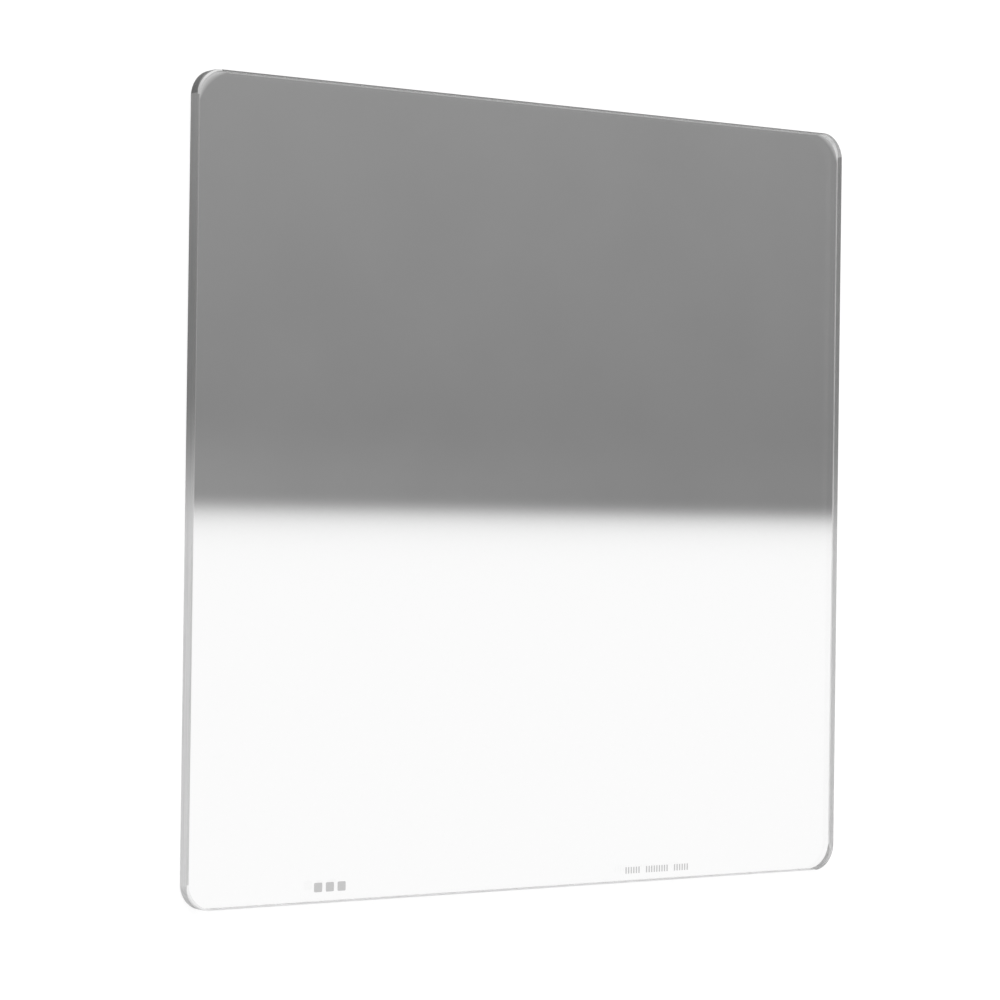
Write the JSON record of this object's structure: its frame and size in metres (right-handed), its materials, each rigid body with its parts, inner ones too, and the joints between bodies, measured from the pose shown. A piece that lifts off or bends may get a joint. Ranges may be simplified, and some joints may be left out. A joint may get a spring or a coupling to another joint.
{
  "type": "square graduated neutral density filter",
  "caption": "Flat square glass filter with ground edges and rounded corners, grey at one end and fading to clear, made to slide into the slots of a lens filter holder.",
  "frame": {"origin": "middle of the rear face, on the surface that the pane lies on", "axes": "+X across the holder's slots, to the right seen from the front; +Y along the slots, towards the dense end; +Z out of the front face, up as the pane lies"},
  "size_m": [0.1, 0.1, 0.002],
  "materials": {
    "filter_glass": "polished faces with a grey coating that fades to clear, and fine ground edges",
    "printed_marks": "flat light grey print on the glass"
  },
  "bodies": {
    "root": {"filter_pane": "filter_glass"}
  },
  "joints": []
}
